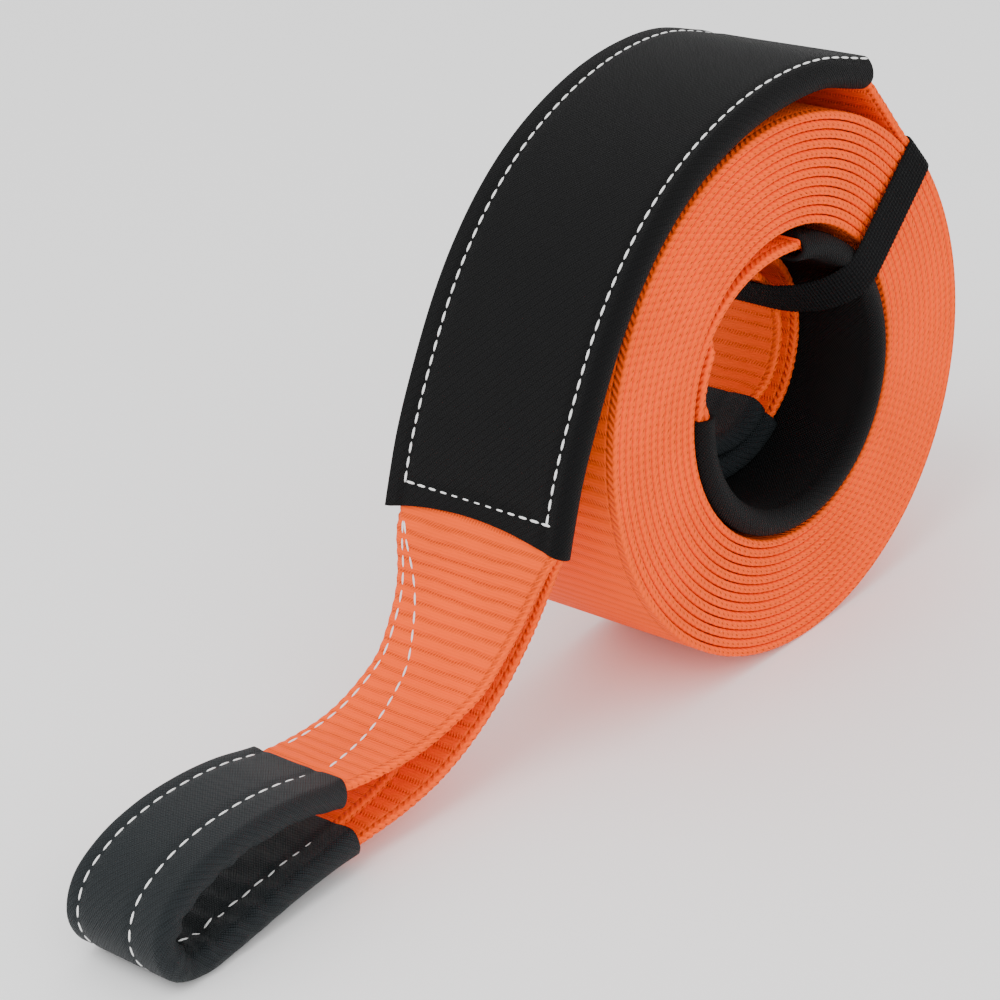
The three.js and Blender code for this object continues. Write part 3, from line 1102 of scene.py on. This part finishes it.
def eye_sections(route, tip, wrinkle):
    """Outer and inner sections of a padded eye sleeve, creased inside and puffed out at its mouths."""
    outer = repeated(eye_loop, len(route.along))
    along = route.along[:, None]
    x = outer[..., 0] + eye_centre_x
    y = outer[..., 1].copy()
    from_mouth = np.minimum(along - route.along[0], route.along[-1] - along)
    nearness = smooth(*puffed_x, x)
    puff = 1 + mouth_puff * nearness * np.exp(-from_mouth / mouth_run)
    inside = smooth(0, eye_half_thickness, -y)
    near_seam = np.where(y > 0, near_seam_x, inner_seam_x)
    far_furrow = dip(x - far_seam_x, seam_depth, far_seam_width)
    near_furrow = dip(x - near_seam, seam_depth, near_seam_width)
    seams = far_furrow + near_furrow
    ripple = wrinkle * creases(along, x, tip)
    outer[..., 0] = x - rim_ripple * nearness * ripple * (1 - np.abs(y) / eye_half_thickness)
    outer[..., 1] = y * puff - np.sign(y) * seams + inside * ripple
    return outer, lining_of(outer, eye_half, eye_half_thickness, eye_sleeve_wall, eye_centre_x)


def eye_sleeve(name, node, route, first, last, tip, wrinkle):
    stretch = part_of(route, first, last, sleeve_step)
    skins = eye_sections(stretch, tip, wrinkle)
    piece = sleeve_tube(name, stretch, *skins, 0.0, wear_cloth, "wear_sleeve")
    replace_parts(piece, node)
    return stretch


eye_wrinkle = 0.9
outer_tip = tail.marks[2]
outer_eye_route = eye_sleeve(
    "outer_eye_cloth",
    "outer_eye_sleeve",
    tail,
    outer_tip - eye_sleeve_length / 2,
    outer_tip + eye_sleeve_length / 2,
    outer_tip,
    eye_wrinkle,
)
eye_sleeve(
    "inner_eye_cloth",
    "inner_eye_sleeve",
    inner_end,
    inner_end.marks[2],
    inner_end.marks[3],
    (inner_end.marks[2] + inner_end.marks[3]) / 2,
    0.4,
)

# Stitches


def face_line(route, along, x, across):
    """A line of stitches on a route's face, with the normals that face away from its centre."""
    x = np.broadcast_to(x, np.shape(along)).astype(float)
    points = on_route(route, along, x, across)
    centre = on_route(route, along, x, 0.0)
    return points, unit(points - centre)


thread_lift = 0.1
row_start = 2
row_margin = 4
long_row_samples = 200
short_row_samples = 30
leg_row_samples = 80


def on_label(along, x):
    """A line of stitches lying in its furrow on the outer label's face."""
    skin = label_half_thickness - label_furrow + thread_lift + label_loft(along, x)
    return face_line(arch, along, x, -skin)


cross_row_at = arch.along[-1] - stitch_inset
long_row = np.linspace(row_start, cross_row_at, long_row_samples)
short_row_x = np.linspace(far_row_x, near_row_x(arch.along[-1]), short_row_samples)
label_rows = [
    on_label(long_row, np.full(long_row_samples, far_row_x)),
    on_label(long_row, near_row_x(long_row)),
    on_label(np.full(short_row_samples, cross_row_at), short_row_x),
]
thread_stitches(
    "label_stitches", label_rows, pitch=5.3, length=4.3, radius=0.5
)

eye_face = eye_half_thickness - seam_depth
eye_row = np.linspace(
    outer_eye_route.along[0] + row_margin, outer_eye_route.along[-1] - row_margin, long_row_samples
)
eye_rows = [face_line(tail, eye_row, x, eye_face) for x in (far_seam_x, near_seam_x)]
for x in (far_seam_x, inner_seam_x):
    lifted = eye_wrinkle * creases(eye_row, x, outer_tip)
    eye_rows.append(face_line(tail, eye_row, x, lifted - eye_face))
thread_stitches(
    "eye_stitches", eye_rows, pitch=6.2, length=4.6, radius=0.45
)

splice_start_x = -33.2
splice_slope = 0.21
leg_row = np.linspace(row_start, bare_leg_length - row_margin, leg_row_samples)
splice_rows = []
for slope in (0.0, splice_slope):
    row_x = splice_start_x + slope * leg_row
    height = panel_height(leg_row, near_edge(leg_row), row_x) + half_thickness
    splice_rows.append(face_line(tail, tail.marks[1] - leg_row, row_x, height))
thread_stitches(
    "splice_stitches", splice_rows, pitch=6.6, length=4.8, radius=0.4
)

# Tie band


tie_samples = 500
tie_smoothing = 11
tie_inset = 0.25
tie_points = 33
tie_taper = 0.9
tie_taper_power = 8
scallop_share = 0.03
scallop_pitch = 1.9
cord_height = 0.16
cords_per_side = 4.5


def tie_loop():
    """The tie band's mid-line (x, radius) round the wound webbing, the lining and the inner legs."""
    face = half_width + seat_gap
    near_lip = label_centre_x + label_half + seat_gap
    far_lip = label_half - label_centre_x + seat_gap
    outside = spiral_end_radius + half_thickness + tie_thickness / 2
    lining_reach = bore_lining_radius
    legs_reach = bore_lining_radius - 14.4
    corners = np.array(
        [
            (-face, outside),
            (face, outside),
            (near_lip, bore_radius - 1),
            (near_lip - 0.4, lining_reach + 3.5),
            (near_lip - 3, lining_reach - 1.5),
            (near_lip - 8, lining_reach - 6.5),
            (near_lip - 16, legs_reach + 3.5),
            (near_lip - 26, legs_reach + 0.6),
            (near_lip - 34, legs_reach),
            (-far_lip, legs_reach),
            (-far_lip, bore_radius),
            (-face, outside),
        ]
    )
    length = running_length(corners)
    along = np.linspace(0, length[-1], tie_samples, endpoint=False)
    loop = np.stack([np.interp(along, length, corners[:, i]) for i in (0, 1)], axis=-1)
    kernel = np.ones(tie_smoothing) / tie_smoothing
    overlap = tie_smoothing // 2
    padded = np.vstack([loop[-overlap:], loop, loop[:overlap]])
    return np.stack([np.convolve(padded[:, i], kernel, "valid") for i in (0, 1)], axis=-1)


def tie_band():
    """A ribbed elastic strip: p = loop + across t (radial, axial) + w (angle direction).

    Its thickness follows cos(2 pi c w) over its cords, and its edges are scalloped along its length.
    """
    loop = tie_loop()
    length = running_length(np.vstack([loop, loop[:1]]))
    tangent = unit(np.roll(loop, -1, axis=0) - np.roll(loop, 1, axis=0))
    normal = np.stack([-tangent[:, 1], tangent[:, 0]], axis=-1)
    width = np.linspace(-1, 1, tie_points)
    scallop = 1 + scallop_share * np.cos(2 * math.pi * length[:-1] / scallop_pitch)[:, None]
    across = tie_width / 2 * width[None] * scallop
    cords = cord_height * np.cos(2 * math.pi * width * cords_per_side)
    half = (tie_thickness / 2 - tie_inset + cords) * np.sqrt(1 - tie_taper * width**tie_taper_power)
    turn = math.radians(tie_angle)
    radial = np.array([0, math.cos(turn), math.sin(turn)])
    sideways = np.array([0, -math.sin(turn), math.cos(turn)])
    axle = np.array([1.0, 0, 0])
    rings = []
    for sign, order in ((1, slice(None)), (-1, slice(None, None, -1))):
        x = loop[:, :1] + sign * normal[:, :1] * half[None]
        r = loop[:, 1:] + sign * normal[:, 1:] * half[None]
        skin = x[..., None] * axle + r[..., None] * radial + across[..., None] * sideways
        rings.append(skin[:, order])
    rings = np.concatenate(rings, axis=1) + np.array([0, 0, axis_height])
    stations, ring = rings.shape[:2]
    quads = grid_quads(stations + 1, ring) % (stations * ring)
    value = np.broadcast_to(np.concatenate([width, width[::-1]]) * tie_width / 2, (stations + 1, ring))
    uv = grid_uv(length, value, np.roll(value, -1, axis=1))
    flat_faces = np.zeros(len(quads), bool)
    return make_piece("tie_cloth", rings.reshape(-1, 3), quads, uv, flat_faces, band_cloth)


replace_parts(tie_band(), "tie_band")

# Floor, light and camera


def matte(name, colour):
    material = bpy.data.materials.new(name)
    material.use_nodes = True
    surface = material.node_tree.nodes["Principled BSDF"]
    surface.inputs["Base Color"].default_value = (*colour, 1)
    surface.inputs["Roughness"].default_value = 0.9
    surface.inputs["Specular IOR Level"].default_value = 0.1
    return material


floor_size = 8.0
bpy.ops.mesh.primitive_plane_add(size=floor_size, location=(0, 0, 0))
floor = bpy.context.object
floor.name = "studio_floor"
floor.data.materials.append(matte("pale floor", (0.97, 0.97, 0.97)))

world_strength = 1.35
world = bpy.data.worlds.new("studio")
world.use_nodes = True
world.node_tree.nodes["Background"].inputs["Color"].default_value = (1, 1, 1, 1)
world.node_tree.nodes["Background"].inputs["Strength"].default_value = world_strength
bpy.context.scene.world = world

aim = Vector((0, -0.06, 0.1))


def softbox(name, place, size, power):
    light = bpy.data.lights.new(name, "AREA")
    light.size = size
    light.energy = power
    lamp = bpy.data.objects.new(name, light)
    lamp.location = place
    lamp.rotation_euler = (aim - Vector(place)).to_track_quat("-Z", "Y").to_euler()
    bpy.context.scene.collection.objects.link(lamp)


softbox("key softbox", (0.2, -1.2, 1.9), size=1.2, power=20)
softbox("fill softbox", (1.6, -0.9, 0.9), size=1.4, power=10)

camera_place = (0.71476, -0.84896, 0.61290)
camera_azimuth = math.radians(44.49)
camera_elevation = math.radians(26.67)
camera_roll = math.radians(-6.42)
camera_lens = 117.0

level = Vector((math.cos(camera_azimuth), math.sin(camera_azimuth), 0))
back = Vector(
    (
        math.cos(camera_elevation) * math.sin(camera_azimuth),
        -math.cos(camera_elevation) * math.cos(camera_azimuth),
        math.sin(camera_elevation),
    )
)
upright = back.cross(level)
right = math.cos(camera_roll) * level + math.sin(camera_roll) * upright
up = back.cross(right)
camera_data = bpy.data.cameras.new("camera")
camera_data.lens = camera_lens
camera = bpy.data.objects.new("camera", camera_data)
camera.matrix_world = Matrix.Translation(camera_place) @ Matrix((right, up, back)).transposed().to_4x4()
bpy.context.scene.collection.objects.link(camera)
bpy.context.scene.camera = camera
